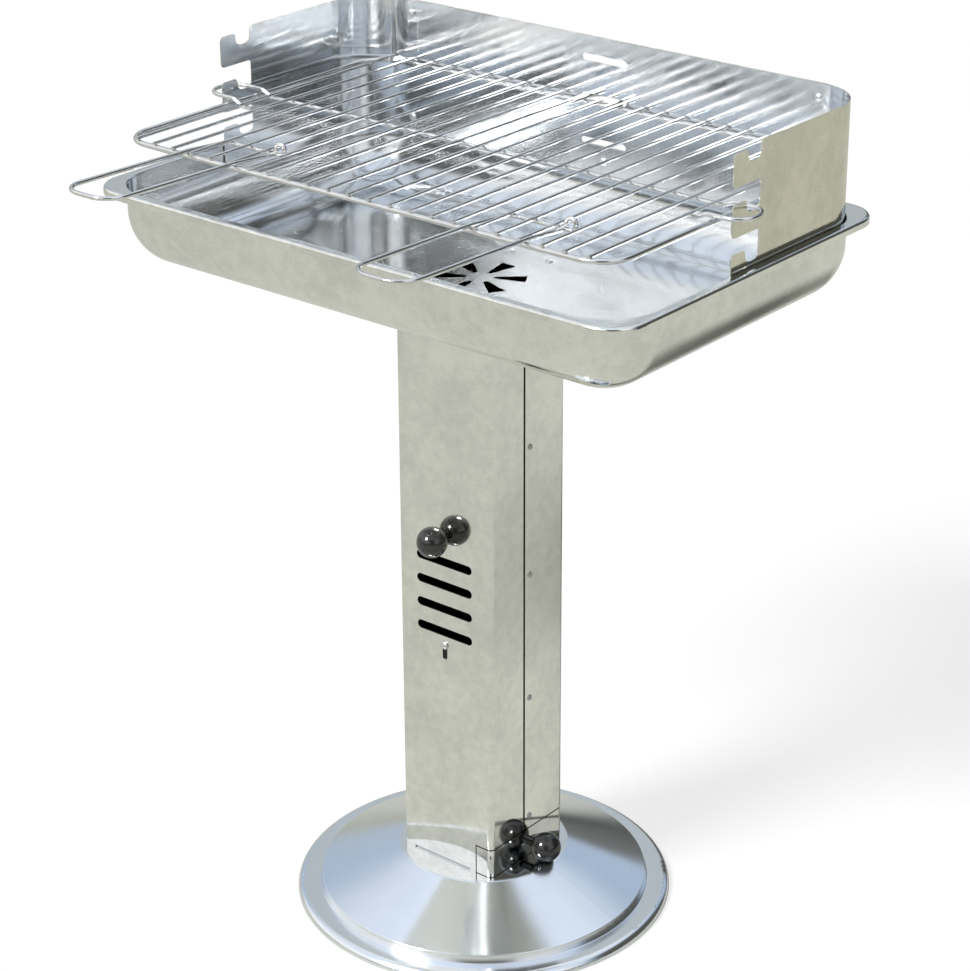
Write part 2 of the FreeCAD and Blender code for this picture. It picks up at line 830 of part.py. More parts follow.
def grid_handle(side):
    """A long wire loop over the front of the frame, hooked under the bars, its end curled to an eye."""
    bars_x = sorted((side * handle_first_bar * bar_pitch, side * handle_last_bar * bar_pitch))
    left = bars_x[0] - handle_leg_gap
    leg = bars_x[1] + handle_leg_gap
    rear_z = cross_height
    slope = (over_frame - rear_z) / (handle_rear - grid_front)
    tip_z = over_frame + handle_rise
    eye_x = leg + eye_radius + cross_wire
    eye_z = rear_z + eye_radius

    def on_eye(degrees):
        a = math.radians(degrees)
        return vec(eye_x + eye_radius * math.cos(a), handle_rear, eye_z + eye_radius * math.sin(a))

    eye = Part.Arc(on_eye(eye_turn - 90), on_eye(eye_turn / 2 - 90), on_eye(-90)).toShape()
    stop = handle_rear - 2 * cross_wire - touch
    leg_end = vec(leg, stop, rear_z + slope * (handle_rear - stop))
    points = [vec(eye_x, handle_rear, rear_z), vec(left, handle_rear, rear_z),
              vec(left, grid_front, over_frame), vec(left, handle_tip, tip_z), vec(leg, handle_tip, tip_z),
              vec(leg, grid_front, over_frame), leg_end]
    radii = [0, handle_rear_bend, handle_kink_bend, handle_tip_bend, handle_tip_bend, handle_kink_bend, 0]
    return tube([eye] + rounded_edges(points, radii), cross_wire)


def build():
    foot_bolts = [bolt(place, up, sheet + base_sheet) for place in foot_screw_places()]
    bowl_bolts = [bolt(place, up, 2 * sheet) for place in bowl_screw_places()]
    upper_bolts = screen_bolts()
    lower_bolts = fixing_bolts()
    guide_screw, guide_nut = damper_guide()
    wing = screen_wing()
    runner = drawer_runner()

    add("base_plate", base_plate())
    add("base_screws", *[pair[0] for pair in foot_bolts])
    add("base_nuts", *[pair[1] for pair in foot_bolts])
    add("column_front_shell", front_shell())
    add("column_rear_shell", rear_shell())
    add("column_seam_screws", *seam_screws())
    add("drawer_runner_front", runner)
    add("drawer_runner_rear", mirrored(runner, back))
    add("fire_bowl", fire_bowl())
    add("bowl_screws", *[pair[0] for pair in bowl_bolts])
    add("bowl_nuts", *[pair[1] for pair in bowl_bolts])
    add("windscreen_back", screen_back())
    add("windscreen_right_wing", wing)
    add("windscreen_left_wing", mirrored(wing, right))
    add("windscreen_joining_screws", *[pair[0] for pair in upper_bolts])
    add("windscreen_joining_nuts", *[pair[1] for pair in upper_bolts])
    add("windscreen_fixing_screws", *[pair[0] for pair in lower_bolts])
    add("windscreen_fixing_nuts", *[pair[1] for pair in lower_bolts])
    add("damper_shutter", shutter())
    add("damper_knob", damper_knob())
    add("damper_knob_screw", damper_knob_screw())
    add("damper_guide_screw", guide_screw)
    add("damper_guide_nut", guide_nut)
    add("ash_drawer_front", drawer_front())
    add("ash_drawer_tray", drawer_tray())
    add("ash_drawer_knob", ball_knob(drawer_knob_seat(), right, drawer_knob_neck))
    add("ash_drawer_knob_screw", drawer_knob_screw())
    add("grid_frame", grid_frame())
    add("grid_bars", *grid_bars())
    add("grid_cross_wire", grid_cross_wire())
    add("grid_tongue", grid_tongue())
    add("grid_handle_left", grid_handle(-1))
    add("grid_handle_right", grid_handle(1))


build()
os.makedirs("parts", exist_ok=True)
for name, shape in nodes.items():
    shape.exportStep("parts/" + name + ".step")
    print(name, "solids", len(shape.Solids), "valid", shape.isValid(), "volume", round(shape.Volume, 1))
print("the column's axis stands at y =", round(-middle_y, 3))
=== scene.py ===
"""Looks of a free-standing stainless steel pedestal grill: finishes, fittings, welds, light and camera."""
import math

import bpy
import numpy as np
from mathutils import Matrix, Vector


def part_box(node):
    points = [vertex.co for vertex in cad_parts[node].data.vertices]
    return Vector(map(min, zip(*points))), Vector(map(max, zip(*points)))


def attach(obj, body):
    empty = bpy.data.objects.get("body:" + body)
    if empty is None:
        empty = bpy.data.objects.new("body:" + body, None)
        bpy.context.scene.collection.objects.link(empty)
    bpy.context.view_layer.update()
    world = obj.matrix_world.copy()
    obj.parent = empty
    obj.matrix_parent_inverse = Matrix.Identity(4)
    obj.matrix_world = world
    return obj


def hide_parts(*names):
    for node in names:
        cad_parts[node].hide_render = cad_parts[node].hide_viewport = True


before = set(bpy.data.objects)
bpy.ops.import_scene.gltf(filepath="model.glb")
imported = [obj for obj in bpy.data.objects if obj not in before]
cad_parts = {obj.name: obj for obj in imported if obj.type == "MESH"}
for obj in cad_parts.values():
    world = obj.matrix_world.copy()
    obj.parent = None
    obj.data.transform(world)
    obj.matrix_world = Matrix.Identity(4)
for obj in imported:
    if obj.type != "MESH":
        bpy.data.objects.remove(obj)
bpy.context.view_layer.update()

bl_info = {
    "name": "Pedestal grill looks",
    "version": (1, 0, 0),
    "blender": (4, 5, 0),
    "location": "View3D > Sidebar > Grill",
    "description": "Finishes, fittings, welds, light and camera for a steel pedestal grill",
    "category": "Object",
}

# CAD pieces by finish
COLUMN_STEEL_NODES = ("column_front_shell", "ash_drawer_front")
SCREEN_NODES = ("windscreen_back", "windscreen_left_wing", "windscreen_right_wing")
WIRE_NODES = ("grid_frame", "grid_bars", "grid_cross_wire", "grid_tongue", "grid_handle_left",
              "grid_handle_right")
KNOB_NODES = ("damper_knob", "ash_drawer_knob")
INNER_STEEL_NODES = ("drawer_runner_front", "drawer_runner_rear", "damper_shutter")
FASTENER_ENDINGS = ("screw", "screws", "nut", "nuts")

# Places from the frame, and sizes of the CAD pieces that their boxes don't give, in metres
BOWL_LOW, BOWL_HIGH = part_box("fire_bowl")
BASE_LOW, BASE_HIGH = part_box("base_plate")
AXIS_Y = (BASE_LOW.y + BASE_HIGH.y) / 2
PLATEAU_RADIUS = 0.078
BAR_COUNT = 23
FRAME_CORNER_RADIUS = 0.030
CROSS_WIRE_RADIUS = 0.002
HEAD_RADIUS = 0.0036
HEAD_HEIGHT = 0.0022
SHANK_RADIUS = 0.002
NUT_FLATS = 0.007
NUT_CORNER_RADIUS = NUT_FLATS / math.sqrt(3)
NUT_HEIGHT = 0.003
THREAD_PLAY = 0.00005
SEAM_HEAD_RADIUS = 0.003
SEAM_HEAD_HEIGHT = 0.0015
SEAM_SHANK_RADIUS = 0.0016
SEAM_SCREW_LENGTH = 0.0065
SEAM_SCREWS_A_SIDE = 5
JOINING_SCREWS = 2
FIXING_SCREWS = 3

# The fittings' fine forms, as shares of their sizes
HEAD_RINGS = np.concatenate([np.linspace(0.02, 0.75, 14), np.linspace(0.82, 1.0, 4)])
CROWN_FALL = 0.6
THREAD_START = 0.08
TIP_RADIUS = 0.6
TROUGH_FLOOR = 1.4
TROUGH_END_SLOPE = 3
CHAMFER_RADIUS = 1.02
CHAMFER_SLOPE = 0.5
BORE_LIP = 0.15
BEAD_WIDTH = 0.95
BEAD_HEIGHT = 0.55

# Steps in one pitch of the thread, the open angle at a bead's pole, the mould lines in metres, and the
# angle in degrees below which an edge is smooth, where all edges are
THREAD_STEPS = 6
BEAD_POLE_GAP = 0.2
MOULD_LINE_RADIUS = 0.00007
MOULD_LINE_SINK = 0.00003
ALL_SMOOTH = 180

# Steel: where noise mostly lies, the mix of its cloudy tone, the scales of its grain, the heights of its
# grain and waves, and the ranges and places of the tones
NOISE_SPREAD = (0.3, 0.7)
CLOUD_SPREAD = (0.80, 1.50)
DRIFT_SHARE = 0.8
DRIFT_COARSENESS = 6
STREAK_SHARE = 0.5
STREAK_FINENESS = 9
STREAK_STRETCH = (0.25, 0.25, 1.6)
UPRIGHT_GRAIN = (1500.0, 1500.0, 30.0)
LEVEL_GRAIN = (40.0, 1400.0, 1400.0)
GRAIN_HEIGHT = 0.00001
COLUMN_WAVE_HEIGHT = 0.0006
TUB_WAVE_HEIGHT = 0.00012
BASE_WAVE_HEIGHT = 0.0006
PEEL_HEIGHT = 0.00003
ROUGHNESS_SPREAD = (0.75, 1.3)
KNOB_TONES = (0.7, 1.5)
RING_TONES = (0.97, 1.03)
RING_SPREAD = (0.7, 1.3)
# The seam's painted shade: its colour, and the range of facings to the front over which it is painted
SEAM_SHADE_COLOUR = (0.03, 0.03, 0.03)
SEAM_SHADE_FACING = (-0.9, -0.7)
INSIDE_REACH = (-0.012, 0.004)
TUB_MIDDLE_RISE = 0.03
PLATEAU_EDGE = 0.003
SPUN_ANISOTROPY = 0.85
SPUN_ROUGHNESS = 0.12
PLATEAU_ROUGHNESS = 0.04
QUARTER_TURN = 0.25

# The room that gloss mirrors. A pair is the range of one part of the direction in which two colours blend.
WHITE = (1.0, 1.0, 1.0)
BACK_SKY = (0.44, 0.54, 0.68)
ZENITH_SKY = (0.76, 0.84, 0.95)
LEFT_HORIZON = (0.44, 0.44, 0.35)
RIGHT_HORIZON = (0.04, 0.04, 0.04)
GROUND = (0.56, 0.565, 0.51)
BEHIND = (-0.15, 0.35)
ZENITH = (0.55, 0.85)
RIGHTWARD = (-0.62, -0.42)
HORIZON_TOP = (0.08, 0.19)
GROUND_TOP = (-0.05, -0.02)
# Patches of that room: the way to the middle, the range of the dot product with it that blends, the colour
PATCHES = (((-0.44, 0.54, 0.72), (0.93, 0.98), WHITE),
           ((0.58, -0.70, 0.41), (0.90, 0.975), (0.09, 0.09, 0.08)),
           ((0.60, 0.74, 0.30), (0.78, 0.90), (0.09, 0.09, 0.08)),
           ((-0.58, 0.70, 0.42), (0.90, 0.97), (0.50, 0.54, 0.56)),
           ((-0.30, 0.94, 0.16), (0.965, 0.99), (0.14, 0.14, 0.13)))

# Lamp, floor and camera
KEY_WAY = (-0.221, -0.733, 0.652)
KEY_DISTANCE = 2.5
FLOOR_WHITE = 1.01
LIT_WHITE = 0.86
FILM_WIDTH = 36.0
FAR_CLIP = 20.0


# Settings

class CameraSettings(bpy.types.PropertyGroup):
    azimuth: bpy.props.FloatProperty(
        name="Azimuth", description="Turn of the view about the column",
        subtype="ANGLE", default=math.radians(39.42))
    elevation: bpy.props.FloatProperty(
        name="Elevation", description="Height angle of the view",
        subtype="ANGLE", default=math.radians(24.27))
    roll: bpy.props.FloatProperty(
        name="Roll", description="Tilt of the view about its own line",
        subtype="ANGLE", default=math.radians(-0.29))
    distance: bpy.props.FloatProperty(
        name="Distance", description="From the camera to the aim point",
        unit="LENGTH", default=2.51719)
    aim_height: bpy.props.FloatProperty(
        name="Aim height", description="Height of the aim point",
        unit="LENGTH", default=0.42013)
    aim_right: bpy.props.FloatProperty(
        name="Aim to the right", description="Offset of the aim point in the view",
        unit="LENGTH", default=0.00318)
    lens: bpy.props.FloatProperty(
        name="Lens", description="Focal length in millimetres on a 36 mm wide frame",
        default=102.555, min=1.0)


class LightSettings(bpy.types.PropertyGroup):
    key_strength: bpy.props.FloatProperty(
        name="Sun", description="Strength of the hazy sun, which stands in front and to the left",
        default=3.4, min=0.0)
    key_angle: bpy.props.FloatProperty(
        name="Sun width", description="Width of the hazy sun in the sky",
        subtype="ANGLE", default=math.radians(18))
    fill: bpy.props.FloatProperty(
        name="Fill", description="Strength of the room's light on matt surfaces",
        default=0.20, min=0.0)
    floor_radius: bpy.props.FloatProperty(
        name="Floor radius", description="Radius of the floor",
        unit="LENGTH", default=4.5)
    floor_colour: bpy.props.FloatVectorProperty(
        name="Floor colour", description="Paint of the floor",
        subtype="COLOR", default=(0.655, 0.66, 0.60))
    shade: bpy.props.FloatProperty(
        name="Shade", description="How much of the floor's shadow the camera sees",
        default=0.28, min=0.0, max=1.0)


class SteelSettings(bpy.types.PropertyGroup):
    column_colour: bpy.props.FloatVectorProperty(
        name="Column", description="Reflected colour of the column's steel",
        subtype="COLOR", default=(0.860, 0.860, 0.825))
    outside_colour: bpy.props.FloatVectorProperty(
        name="Bowl outside", description="Reflected colour outside the bowl",
        subtype="COLOR", default=(0.850, 0.850, 0.810))
    screen_colour: bpy.props.FloatVectorProperty(
        name="Windscreen outside", description="Reflected colour outside the windscreen",
        subtype="COLOR", default=(0.735, 0.715, 0.610))
    inside_colour: bpy.props.FloatVectorProperty(
        name="Inside", description="Reflected colour inside the bowl and the windscreen",
        subtype="COLOR", default=(0.800, 0.820, 0.835))
    # The base's steel colour with a blue tint, a painted reflection of the sky
    base_colour_with_sky_tint: bpy.props.FloatVectorProperty(
        name="Base", description="Reflected colour of the spun base",
        subtype="COLOR", default=(0.860, 0.890, 0.925))
    wire_colour: bpy.props.FloatVectorProperty(
        name="Wire", description="Reflected colour of the bright wire",
        subtype="COLOR", default=(0.780, 0.780, 0.775))
    # Near black: painted shade on the steel inside the column, which shows behind the damper's slots
    inner_shade_colour: bpy.props.FloatVectorProperty(
        name="Inner parts", description="Reflected colour of the hidden steel",
        subtype="COLOR", default=(0.050, 0.050, 0.050))
    tray_colour: bpy.props.FloatVectorProperty(
        name="Ash tray", description="Reflected colour of the ash tray",
        subtype="COLOR", default=(0.420, 0.420, 0.410))
    fastener_colour: bpy.props.FloatVectorProperty(
        name="Fasteners", description="Reflected colour of the plain screws and nuts",
        subtype="COLOR", default=(0.780, 0.780, 0.760))
    knob_colour: bpy.props.FloatVectorProperty(
        name="Knobs", description="Colour of the moulded knobs",
        subtype="COLOR", default=(0.020, 0.020, 0.020))


class FittingSettings(bpy.types.PropertyGroup):
    recess_depth: bpy.props.FloatProperty(
        name="Recess depth", description="Depth of the cross recess in a screw head",
        unit="LENGTH", default=0.0011)
    recess_reach: bpy.props.FloatProperty(
        name="Recess reach", description="Length of one arm of the cross recess",
        unit="LENGTH", default=0.0021)
    recess_width: bpy.props.FloatProperty(
        name="Recess width", description="Width of an arm of the cross recess",
        unit="LENGTH", default=0.0009)
    thread_pitch: bpy.props.FloatProperty(
        name="Thread pitch", description="Distance between turns of the thread",
        unit="LENGTH", default=0.0007)
    thread_depth: bpy.props.FloatProperty(
        name="Thread depth", description="Depth of the thread",
        unit="LENGTH", default=0.0003)
    weld_length: bpy.props.FloatProperty(
        name="Weld length", description="Half length of a weld bead on the grid",
        unit="LENGTH", default=0.0021)


# Shader nodes

def new_material(name):
    """An empty node material, with its tree and output."""
    material = bpy.data.materials.new(name)
    material.use_nodes = True
    tree = material.node_tree
    tree.nodes.clear()
    output = tree.nodes.new("ShaderNodeOutputMaterial")
    return material, tree, output


def add_node(tree, kind, **values):
    """A node with its properties and plain socket values set."""
    node = tree.nodes.new(kind)
    for key, value in values.items():
        if key in node.inputs.keys():
            node.inputs[key].default_value = value
        else:
            setattr(node, key, value)
    return node


def feed(tree, socket, value):
    """Link a socket to another one, or give it a plain value."""
    if isinstance(value, bpy.types.NodeSocket):
        tree.links.new(value, socket)
    else:
        socket.default_value = value


def math_node(tree, operation, first, second):
    """One sum on sockets or plain numbers."""
    node = add_node(tree, "ShaderNodeMath", operation=operation)
    feed(tree, node.inputs[0], first)
    feed(tree, node.inputs[1], second)
    return node.outputs["Value"]


def dot_product(tree, first, second):
    """How far two directions agree, given as sockets or plain vectors."""
    node = add_node(tree, "ShaderNodeVectorMath", operation="DOT_PRODUCT")
    feed(tree, node.inputs[0], first)
    feed(tree, node.inputs[1], second)
    return node.outputs["Value"]


def object_place(tree, scale=(1.0, 1.0, 1.0), centre=(0.0, 0.0, 0.0)):
    """The point on the piece, less a centre, stretched along the axes."""
    coordinate = add_node(tree, "ShaderNodeTexCoord")
    mapping = add_node(tree, "ShaderNodeMapping", vector_type="POINT", Scale=scale,
                       Location=[-c * s for c, s in zip(centre, scale)])
    tree.links.new(coordinate.outputs["Object"], mapping.inputs["Vector"])
    return mapping.outputs["Vector"]


def surface_normal(tree):
    """The way that the piece's surface faces, along the piece's own axes."""
    return add_node(tree, "ShaderNodeTexCoord").outputs["Normal"]


def noise(tree, place, scale, detail=2.0, roughness=0.5):
    """Cloudy noise between 0 and 1 at a place."""
    node = add_node(tree, "ShaderNodeTexNoise", Scale=scale, Detail=detail, Roughness=roughness)
    tree.links.new(place, node.inputs["Vector"])
    return node.outputs["Fac"]


def ramp(tree, value, spread, to=(0.0, 1.0)):
    """Map the value smoothly from one range to another."""
    node = add_node(tree, "ShaderNodeMapRange", interpolation_type="SMOOTHSTEP")
    for key, number in zip(("From Min", "From Max", "To Min", "To Max"), (*spread, *to)):
        node.inputs[key].default_value = number
    tree.links.new(value, node.inputs["Value"])
    return node.outputs["Result"]


def mix_colour(tree, share, first, second):
    """Blend two colours, given as sockets or plain colours."""
    node = add_node(tree, "ShaderNodeMix", data_type="RGBA")
    tree.links.new(share, node.inputs["Factor"])
    colour_sockets = [socket for socket in node.inputs if socket.type == "RGBA"]
    for socket, value in zip(colour_sockets, (first, second)):
        feed(tree, socket, (*value, 1.0) if isinstance(value, tuple) else value)
    return next(socket for socket in node.outputs if socket.type == "RGBA")


def mix_shader(tree, share, first, second):
    """The first shader where the share is 0, the second where it is 1."""
    node = add_node(tree, "ShaderNodeMixShader")
    tree.links.new(share, node.inputs["Fac"])
    tree.links.new(first, node.inputs[1])
    tree.links.new(second, node.inputs[2])
    return node.outputs["Shader"]


def shaded(colour, share):
    """A colour, or a range, with each part multiplied by the same share."""
    return tuple(part * share for part in colour)


def bump(tree, height, distance, below=None):
    """Relief from a height, on top of the relief below it."""
    node = add_node(tree, "ShaderNodeBump", Strength=1.0, Distance=distance)
    tree.links.new(height, node.inputs["Height"])
    if below is not None:
        tree.links.new(below, node.inputs["Normal"])
    return node.outputs["Normal"]


def surface(tree, output, colour, roughness, normal, metallic=1.0):
    """A shader on the output, with its colour, roughness and relief joined: bare metal unless said."""
    shader = add_node(tree, "ShaderNodeBsdfPrincipled", Metallic=metallic)
    for key, value in (("Base Color", colour), ("Roughness", roughness), ("Normal", normal)):
        tree.links.new(value, shader.inputs[key])
    tree.links.new(shader.outputs["BSDF"], output.inputs["Surface"])
    return shader


def cloudy(tree, colour, place, blotch_scale, depth):
    """Rolled steel's cloudy tone: broad drifts, blotches and short level streaks over one colour."""
    drifts = noise(tree, place, blotch_scale / DRIFT_COARSENESS, detail=1.0)
    blotches = noise(tree, place, blotch_scale, detail=4.0, roughness=0.62)
    streaks = noise(tree, object_place(tree, scale=STREAK_STRETCH), blotch_scale * STREAK_FINENESS)
    tone = math_node(tree, "ADD", math_node(tree, "MULTIPLY", drifts, DRIFT_SHARE), blotches)
    tone = math_node(tree, "ADD", tone, math_node(tree, "MULTIPLY", streaks, STREAK_SHARE))
    share = ramp(tree, tone, CLOUD_SPREAD)
    return mix_colour(tree, share, shaded(colour, 1 - depth), shaded(colour, 1 + depth))


def sheet_bump(tree, place, grain_place, wave_height):
    """The slow waves of a thin sheet, with the fine rolling grain on top."""
    waves = bump(tree, noise(tree, place, scale=9.0, detail=1.0), wave_height)
    grain = noise(tree, grain_place, scale=1.0, detail=3.0, roughness=0.7)
    return bump(tree, grain, GRAIN_HEIGHT, below=waves)


# Finishes

def column_steel(settings, name, seam_shade_tone):
    """Polished sheet with an upright rolling grain.

    The tone paints the shade of the seam's gap on the faces turned to the front, the rear shell's cut edge.
    """
    material, tree, output = new_material(name)
    place = object_place(tree)
    steel = cloudy(tree, settings.column_colour, place, blotch_scale=90.0, depth=0.10)
    facing = add_node(tree, "ShaderNodeSeparateXYZ")
    tree.links.new(surface_normal(tree), facing.inputs["Vector"])
    # Painted shade: the faces turned to the front darken by the tone, as the shade of the seam's gap on the
    # cut edge
    edge = ramp(tree, facing.outputs["Y"], SEAM_SHADE_FACING, to=(seam_shade_tone, 0.0))
    colour = mix_colour(tree, edge, steel, SEAM_SHADE_COLOUR)
    roughness = ramp(tree, noise(tree, place, scale=25.0, detail=4.0), NOISE_SPREAD, to=(0.04, 0.09))
    grain_place = object_place(tree, scale=UPRIGHT_GRAIN)
    surface(tree, output, colour, roughness, sheet_bump(tree, place, grain_place, COLUMN_WAVE_HEIGHT))
    return material


def inside_share(tree):
    """1 on the faces turned to the middle of the bowl and windscreen, 0 on the faces turned away."""
    across, along = (BOWL_LOW.x + BOWL_HIGH.x) / 2, (BOWL_LOW.y + BOWL_HIGH.y) / 2
    middle = (across, along, BOWL_HIGH.z + TUB_MIDDLE_RISE)
    outward = dot_product(tree, object_place(tree, centre=middle), surface_normal(tree))
    return ramp(tree, outward, INSIDE_REACH, to=(1.0, 0.0))


def tub_steel(settings, name, outside_tone):
    """Bright inside with a cool tone, warmer and cloudier outside."""
    material, tree, output = new_material(name)
    place = object_place(tree)
    outside = cloudy(tree, outside_tone, place, blotch_scale=90.0, depth=0.10)
    inside = cloudy(tree, settings.inside_colour, place, blotch_scale=30.0, depth=0.05)
    colour = mix_colour(tree, inside_share(tree), outside, inside)
    roughness = ramp(tree, noise(tree, place, scale=22.0, detail=5.0), NOISE_SPREAD, to=(0.08, 0.15))
    grain_place = object_place(tree, scale=LEVEL_GRAIN)
    surface(tree, output, colour, roughness, sheet_bump(tree, place, grain_place, TUB_WAVE_HEIGHT))
    return material


def base_steel(settings):
    """Spun steel: a smooth plateau, and fine rings about the axis, which draw light out along the radius."""
    material, tree, output = new_material("spun_base_steel")
    centre = (0.0, AXIS_Y, 0.0)
    place = object_place(tree, centre=centre)
    radius = add_node(tree, "ShaderNodeVectorMath", operation="LENGTH")
    tree.links.new(object_place(tree, scale=(1.0, 1.0, 0.0), centre=centre), radius.inputs[0])
    rings = add_node(tree, "ShaderNodeTexNoise", noise_dimensions="1D", Scale=900.0, Detail=4.0)
    tree.links.new(radius.outputs["Value"], rings.inputs["W"])
    tone = math_node(tree, "ADD", noise(tree, place, scale=18.0, detail=4.0), rings.outputs["Fac"])
    # The blue in the base colour is a painted reflection of the sky
    dark, light = (shaded(settings.base_colour_with_sky_tint, share) for share in RING_TONES)
    colour = mix_colour(tree, ramp(tree, tone, RING_SPREAD), dark, light)
    spun = ramp(tree, radius.outputs["Value"], (PLATEAU_RADIUS - PLATEAU_EDGE, PLATEAU_RADIUS))
    roughness = math_node(tree, "ADD", math_node(tree, "MULTIPLY", spun, SPUN_ROUGHNESS), PLATEAU_ROUGHNESS)
    waves = bump(tree, noise(tree, place, scale=12.0, detail=1.0), BASE_WAVE_HEIGHT)
    normal = bump(tree, rings.outputs["Fac"], GRAIN_HEIGHT, below=waves)
    shader = surface(tree, output, colour, roughness, normal)
    tangent = add_node(tree, "ShaderNodeTangent", direction_type="RADIAL", axis="Z")
    tree.links.new(tangent.outputs["Tangent"], shader.inputs["Tangent"])
    tree.links.new(math_node(tree, "MULTIPLY", spun, SPUN_ANISOTROPY), shader.inputs["Anisotropic"])
    shader.inputs["Anisotropic Rotation"].default_value = QUARTER_TURN
    return material


def wire_steel(settings):
    """Bright drawn wire with faint marks along it."""
    material, tree, output = new_material("bright_wire_steel")
    place = object_place(tree)
    colour = cloudy(tree, settings.wire_colour, place, blotch_scale=160.0, depth=0.06)
    roughness = ramp(tree, noise(tree, place, scale=120.0, detail=3.0), NOISE_SPREAD, to=(0.07, 0.16))
    surface(tree, output, colour, roughness, bump(tree, noise(tree, place, scale=700.0), GRAIN_HEIGHT))
    return material


def plain_steel(name, tone, roughness, depth):
    """Sheet or bar with a duller, speckled surface."""
    material, tree, output = new_material(name)
    place = object_place(tree)
    colour = cloudy(tree, tone, place, blotch_scale=140.0, depth=depth)
    speckle = noise(tree, place, scale=160.0, detail=4.0)
    speckled = ramp(tree, speckle, NOISE_SPREAD, to=shaded(ROUGHNESS_SPREAD, roughness))
    surface(tree, output, colour, speckled, bump(tree, noise(tree, place, scale=1200.0), GRAIN_HEIGHT))
    return material


def knob_plastic(settings):
    """Black moulded knob: glossy, with a faint orange-peel surface."""
    material, tree, output = new_material("black_moulded_knob")
    place = object_place(tree)
    dark, light = (shaded(settings.knob_colour, share) for share in KNOB_TONES)
    colour = mix_colour(tree, noise(tree, place, scale=90.0, detail=3.0), dark, light)
    roughness = ramp(tree, noise(tree, place, scale=200.0, detail=3.0), NOISE_SPREAD, to=(0.08, 0.15))
    peel = bump(tree, noise(tree, place, scale=500.0, detail=1.0), PEEL_HEIGHT)
    shader = surface(tree, output, colour, roughness, peel, metallic=0.0)
    shader.inputs["Coat Weight"].default_value = 0.35
    shader.inputs["Coat Roughness"].default_value = 0.04
    return material


def paint_nodes(names, material):
    """Give CAD pieces their finish."""
    for name in names:
        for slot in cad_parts[name].material_slots:
            slot.material = material


# Surfaces

def ring_faces(rows, columns):
    """Quads of rows of points, each row joined into a ring, for rows that run from the top down."""
    i, j = np.meshgrid(np.arange(rows - 1), np.arange(columns), indexing="ij")
    a = i * columns + j
    b = i * columns + (j + 1) % columns
    return np.stack([a, a + columns, b + columns, b], axis=-1).reshape(-1, 4)


def full_turn(steps):
    """Even angles round a circle."""
    return np.linspace(0, 2 * np.pi, steps, endpoint=False)


def closed(points):
    """Points and faces of rows of rings, with a fan of triangles over the first ring and the last one."""
    rows, columns = points.shape[:2]
    flat = points.reshape(-1, 3)
    count = len(flat)
    ring = np.arange(columns)
    after = (ring + 1) % columns
    last = (rows - 1) * columns
    top = np.stack([np.full(columns, count), ring, after], axis=-1)
    bottom = np.stack([np.full(columns, count + 1), last + after, last + ring], axis=-1)
    flat = np.concatenate([flat, [points[0].mean(axis=0), points[-1].mean(axis=0)]])
    return flat, ring_faces(rows, columns), np.concatenate([top, bottom])


def looped(points):
    """Points and faces of rows of rings, with the last ring joined to the first one."""
    rows, columns = points.shape[:2]
    i, j = np.meshgrid(np.arange(rows), np.arange(columns), indexing="ij")
    below = (i + 1) % rows
    after = (j + 1) % columns
    corners_of_quads = [i * columns + j, below * columns + j, below * columns + after, i * columns + after]
    no_triangles = np.zeros((0, 3), int)
    return points.reshape(-1, 3), np.stack(corners_of_quads, axis=-1).reshape(-1, 4), no_triangles


def placed(shape, place, direction):
    """A shape about the Z axis, turned so that Z is the direction, and moved to the place."""
    points, quads, triangles = shape
    turn = np.array(Vector((0, 0, 1)).rotation_difference(Vector(direction)).to_matrix())
    return points @ turn.T + np.array(place), quads, triangles


def make_piece(name, shapes, material, body, smooth_degrees=35):
    """One object from many shapes, smoothed below the angle, riding on a body."""
    offsets = np.cumsum([0] + [len(shape[0]) for shape in shapes])
    points = np.concatenate([shape[0] for shape in shapes])
    quads = np.concatenate([shape[1] + offset for shape, offset in zip(shapes, offsets)])
    triangles = np.concatenate([shape[2] + offset for shape, offset in zip(shapes, offsets)])
    mesh = bpy.data.meshes.new(name)
    mesh.from_pydata(points.tolist(), [], quads.tolist() + triangles.tolist())
    mesh.shade_smooth()
    mesh.set_sharp_from_angle(angle=math.radians(smooth_degrees))
    mesh.materials.append(material)
    piece = bpy.data.objects.new(name, mesh)
    bpy.context.scene.collection.objects.link(piece)
    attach(piece, body)
    return piece


def head_recess(x, y, settings):
    """Depth of a cross recess at points of a head.

    A trough is a flat floor with sloping walls across it, times slopes at both ends. Two of them cross.
    """
    def trough(along, across):
        walls = np.clip(TROUGH_FLOOR - 2 * np.abs(across) / settings.recess_width, 0, 1)
        ends = np.clip(TROUGH_END_SLOPE * (1 - np.abs(along) / settings.recess_reach), 0, 1)
        return walls * ends
    return settings.recess_depth * np.maximum(trough(x, y), trough(y, x))


def screw_shape(settings, head, head_height, shank, length, turns=48):
    """A domed screw about Z with its seat at z = 0.

    The head is a cap whose height falls with the square of the radius, less the cross recess.
    The shank's radius rises and falls with the height plus the share of a turn, which winds the thread.
    """
    head_radii = HEAD_RINGS * head
    crown = head_height * (1 - CROWN_FALL * HEAD_RINGS ** 2)
    threads = max(int(length / settings.thread_pitch * THREAD_STEPS), 2)
    shank_z = np.linspace(-THREAD_START, -1.0, threads) * length
    profile_r = np.concatenate([head_radii, [head, shank], np.full(threads, shank), [shank * TIP_RADIUS]])
    profile_z = np.concatenate([crown, [0.0, 0.0], shank_z, [-length]])
    r, a = np.meshgrid(profile_r, full_turn(turns), indexing="ij")
    z = np.repeat(profile_z[:, None], turns, axis=1)
    rows = np.arange(len(profile_r))[:, None]
    thread_row = len(head_radii) + 2
    on_thread = (rows >= thread_row) & (rows < thread_row + threads)
    wound = np.abs(((z / settings.thread_pitch + a / (2 * np.pi)) % 1.0) * 2 - 1)
    r = r - np.where(on_thread, settings.thread_depth * wound, 0)
    x = r * np.cos(a)
    y = r * np.sin(a)
    z = z - np.where(rows < len(head_radii), head_recess(x, y, settings), 0)
    return closed(np.stack([x, y, z], axis=-1))


